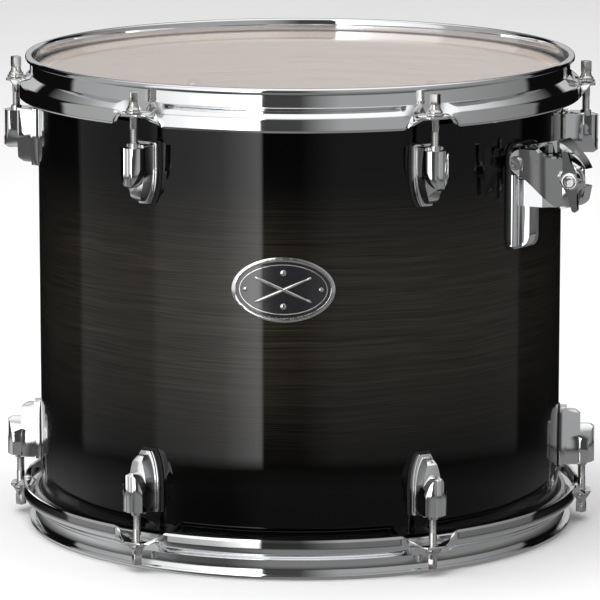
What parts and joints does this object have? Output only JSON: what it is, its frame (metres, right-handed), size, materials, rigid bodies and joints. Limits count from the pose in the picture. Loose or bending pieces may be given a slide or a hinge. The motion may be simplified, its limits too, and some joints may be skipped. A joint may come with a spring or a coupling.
{
  "type": "tom tom drum",
  "caption": "Double-headed cylindrical tom tom with tensioned clear heads under pressed hoops, lugs, and a side clamp for a holder's rod.",
  "frame": {"origin": "on the shell's axis, in the plane of the resonant hoop's rim that the drum stands on", "axes": "+Z along the shell's axis up to the batter head, -Y out through the badge, +X to the side that the clamp is on"},
  "size_m": [0.4032, 0.3816, 0.3225],
  "materials": {
    "lacquered_shell": "figured wood ply under transparent black lacquer, gloss",
    "chrome": "mirror chrome plate on pressed steel",
    "cast_chrome": "chrome plate on die-cast zinc",
    "rod_steel": "bright nickel-plated steel",
    "badge_metal": "satin metal with a dark enamel field",
    "clear_film": "clear polyester film",
    "flesh_hoop_aluminium": "mill finish extrusion",
    "gasket_rubber": "matt black"
  },
  "bodies": {
    "drum": {"shell": "lacquered_shell", "badge": "badge_metal", "vent_eyelet": "chrome", "batter_head_film": "clear_film", "batter_flesh_hoop": "flesh_hoop_aluminium", "batter_hoop": "chrome", "batter_lug_1": "cast_chrome", "batter_lug_2": "cast_chrome", "batter_lug_3": "cast_chrome", "batter_lug_4": "cast_chrome", "batter_lug_5": "cast_chrome", "batter_lug_6": "cast_chrome", "resonant_head_film": "clear_film", "resonant_flesh_hoop": "flesh_hoop_aluminium", "resonant_hoop": "chrome", "resonant_lug_1": "cast_chrome", "resonant_lug_2": "cast_chrome", "resonant_lug_3": "cast_chrome", "resonant_lug_4": "cast_chrome", "resonant_lug_5": "cast_chrome", "resonant_lug_6": "cast_chrome", "clamp_gasket": "gasket_rubber", "clamp_body": "cast_chrome", "clamp_pivot_screw": "rod_steel", "clamp_eye_bolt": "rod_steel", "clamp_bolt_pin": "rod_steel", "clamp_backing_plate": "rod_steel", "clamp_screw_1": "rod_steel", "clamp_screw_2": "rod_steel"},
    "batter_rod_1": {"batter_rod_1": "rod_steel"},
    "batter_washer_1": {"batter_washer_1": "rod_steel"},
    "batter_rod_2": {"batter_rod_2": "rod_steel"},
    "batter_washer_2": {"batter_washer_2": "rod_steel"},
    "batter_rod_3": {"batter_rod_3": "rod_steel"},
    "batter_washer_3": {"batter_washer_3": "rod_steel"},
    "batter_rod_4": {"batter_rod_4": "rod_steel"},
    "batter_washer_4": {"batter_washer_4": "rod_steel"},
    "batter_rod_5": {"batter_rod_5": "rod_steel"},
    "batter_washer_5": {"batter_washer_5": "rod_steel"},
    "batter_rod_6": {"batter_rod_6": "rod_steel"},
    "batter_washer_6": {"batter_washer_6": "rod_steel"},
    "resonant_rod_1": {"resonant_rod_1": "rod_steel"},
    "resonant_washer_1": {"resonant_washer_1": "rod_steel"},
    "resonant_rod_2": {"resonant_rod_2": "rod_steel"},
    "resonant_washer_2": {"resonant_washer_2": "rod_steel"},
    "resonant_rod_3": {"resonant_rod_3": "rod_steel"},
    "resonant_washer_3": {"resonant_washer_3": "rod_steel"},
    "resonant_rod_4": {"resonant_rod_4": "rod_steel"},
    "resonant_washer_4": {"resonant_washer_4": "rod_steel"},
    "resonant_rod_5": {"resonant_rod_5": "rod_steel"},
    "resonant_washer_5": {"resonant_washer_5": "rod_steel"},
    "resonant_rod_6": {"resonant_rod_6": "rod_steel"},
    "resonant_washer_6": {"resonant_washer_6": "rod_steel"},
    "clamp_jaw": {"clamp_jaw": "cast_chrome"},
    "clamp_washer": {"clamp_washer": "chrome"},
    "wing_nut": {"wing_nut": "cast_chrome"}
  },
  "joints": [
    {"name": "batter_rod_1_lift", "type": "slide", "parent": "drum", "child": "batter_washer_1", "axis": [0, 0, 1], "range_m": [0, 0.00422]},
    {"name": "batter_rod_1_turn", "type": "hinge", "parent": "batter_washer_1", "child": "batter_rod_1", "pos_m": [-0.09695, -0.16792, 0.3046], "axis": [0, 0, 1], "range_deg": [0, 1440]},
    {"name": "batter_rod_2_lift", "type": "slide", "parent": "drum", "child": "batter_washer_2", "axis": [0, 0, 1], "range_m": [0, 0.00422]},
    {"name": "batter_rod_2_turn", "type": "hinge", "parent": "batter_washer_2", "child": "batter_rod_2", "pos_m": [0.09695, -0.16792, 0.3046], "axis": [0, 0, 1], "range_deg": [0, 1440]},
    {"name": "batter_rod_3_lift", "type": "slide", "parent": "drum", "child": "batter_washer_3", "axis": [0, 0, 1], "range_m": [0, 0.00422]},
    {"name": "batter_rod_3_turn", "type": "hinge", "parent": "batter_washer_3", "child": "batter_rod_3", "pos_m": [0.1939, 0, 0.3046], "axis": [0, 0, 1], "range_deg": [0, 1440]},
    {"name": "batter_rod_4_lift", "type": "slide", "parent": "drum", "child": "batter_washer_4", "axis": [0, 0, 1], "range_m": [0, 0.00422]},
    {"name": "batter_rod_4_turn", "type": "hinge", "parent": "batter_washer_4", "child": "batter_rod_4", "pos_m": [0.09695, 0.16792, 0.3046], "axis": [0, 0, 1], "range_deg": [0, 1440]},
    {"name": "batter_rod_5_lift", "type": "slide", "parent": "drum", "child": "batter_washer_5", "axis": [0, 0, 1], "range_m": [0, 0.00422]},
    {"name": "batter_rod_5_turn", "type": "hinge", "parent": "batter_washer_5", "child": "batter_rod_5", "pos_m": [-0.09695, 0.16792, 0.3046], "axis": [0, 0, 1], "range_deg": [0, 1440]},
    {"name": "batter_rod_6_lift", "type": "slide", "parent": "drum", "child": "batter_washer_6", "axis": [0, 0, 1], "range_m": [0, 0.00422]},
    {"name": "batter_rod_6_turn", "type": "hinge", "parent": "batter_washer_6", "child": "batter_rod_6", "pos_m": [-0.1939, 0, 0.3046], "axis": [0, 0, 1], "range_deg": [0, 1440]},
    {"name": "resonant_rod_1_lift", "type": "slide", "parent": "drum", "child": "resonant_washer_1", "axis": [0, 0, -1], "range_m": [0, 0.00422]},
    {"name": "resonant_rod_1_turn", "type": "hinge", "parent": "resonant_washer_1", "child": "resonant_rod_1", "pos_m": [-0.09695, -0.16792, 0.0179], "axis": [0, 0, -1], "range_deg": [0, 1440]},
    {"name": "resonant_rod_2_lift", "type": "slide", "parent": "drum", "child": "resonant_washer_2", "axis": [0, 0, -1], "range_m": [0, 0.00422]},
    {"name": "resonant_rod_2_turn", "type": "hinge", "parent": "resonant_washer_2", "child": "resonant_rod_2", "pos_m": [0.09695, -0.16792, 0.0179], "axis": [0, 0, -1], "range_deg": [0, 1440]},
    {"name": "resonant_rod_3_lift", "type": "slide", "parent": "drum", "child": "resonant_washer_3", "axis": [0, 0, -1], "range_m": [0, 0.00422]},
    {"name": "resonant_rod_3_turn", "type": "hinge", "parent": "resonant_washer_3", "child": "resonant_rod_3", "pos_m": [0.1939, 0, 0.0179], "axis": [0, 0, -1], "range_deg": [0, 1440]},
    {"name": "resonant_rod_4_lift", "type": "slide", "parent": "drum", "child": "resonant_washer_4", "axis": [0, 0, -1], "range_m": [0, 0.00422]},
    {"name": "resonant_rod_4_turn", "type": "hinge", "parent": "resonant_washer_4", "child": "resonant_rod_4", "pos_m": [0.09695, 0.16792, 0.0179], "axis": [0, 0, -1], "range_deg": [0, 1440]},
    {"name": "resonant_rod_5_lift", "type": "slide", "parent": "drum", "child": "resonant_washer_5", "axis": [0, 0, -1], "range_m": [0, 0.00422]},
    {"name": "resonant_rod_5_turn", "type": "hinge", "parent": "resonant_washer_5", "child": "resonant_rod_5", "pos_m": [-0.09695, 0.16792, 0.0179], "axis": [0, 0, -1], "range_deg": [0, 1440]},
    {"name": "resonant_rod_6_lift", "type": "slide", "parent": "drum", "child": "resonant_washer_6", "axis": [0, 0, -1], "range_m": [0, 0.00422]},
    {"name": "resonant_rod_6_turn", "type": "hinge", "parent": "resonant_washer_6", "child": "resonant_rod_6", "pos_m": [-0.1939, 0, 0.0179], "axis": [0, 0, -1], "range_deg": [0, 1440]},
    {"name": "clamp_washer_slide", "type": "slide", "parent": "drum", "child": "clamp_washer", "axis": [-0.2164, -0.9763, 0], "range_m": [0, 0.00125]},
    {"name": "wing_nut_turn", "type": "hinge", "parent": "clamp_washer", "child": "wing_nut", "pos_m": [0.18395, -0.13084, 0.256], "axis": [-0.2164, -0.9763, 0], "range_deg": [0, 360]},
    {"name": "clamp_jaw_swing", "type": "hinge", "parent": "drum", "child": "clamp_jaw", "pos_m": [0.15712, -0.10104, 0.265], "axis": [0, 0, -1], "range_deg": [0, 1.6]}
  ],
  "couplings": [
    {"joint": "batter_rod_1_turn", "follows": "batter_rod_1_lift", "rad_per_m": 5936.9},
    {"joint": "batter_rod_2_turn", "follows": "batter_rod_2_lift", "rad_per_m": 5936.9},
    {"joint": "batter_rod_3_turn", "follows": "batter_rod_3_lift", "rad_per_m": 5936.9},
    {"joint": "batter_rod_4_turn", "follows": "batter_rod_4_lift", "rad_per_m": 5936.9},
    {"joint": "batter_rod_5_turn", "follows": "batter_rod_5_lift", "rad_per_m": 5936.9},
    {"joint": "batter_rod_6_turn", "follows": "batter_rod_6_lift", "rad_per_m": 5936.9},
    {"joint": "resonant_rod_1_turn", "follows": "resonant_rod_1_lift", "rad_per_m": 5936.9},
    {"joint": "resonant_rod_2_turn", "follows": "resonant_rod_2_lift", "rad_per_m": 5936.9},
    {"joint": "resonant_rod_3_turn", "follows": "resonant_rod_3_lift", "rad_per_m": 5936.9},
    {"joint": "resonant_rod_4_turn", "follows": "resonant_rod_4_lift", "rad_per_m": 5936.9},
    {"joint": "resonant_rod_5_turn", "follows": "resonant_rod_5_lift", "rad_per_m": 5936.9},
    {"joint": "resonant_rod_6_turn", "follows": "resonant_rod_6_lift", "rad_per_m": 5936.9},
    {"joint": "wing_nut_turn", "follows": "clamp_washer_slide", "rad_per_m": 5026.5},
    {"joint": "clamp_jaw_swing", "follows": "clamp_washer_slide", "rad_per_m": 20.944}
  ]
}
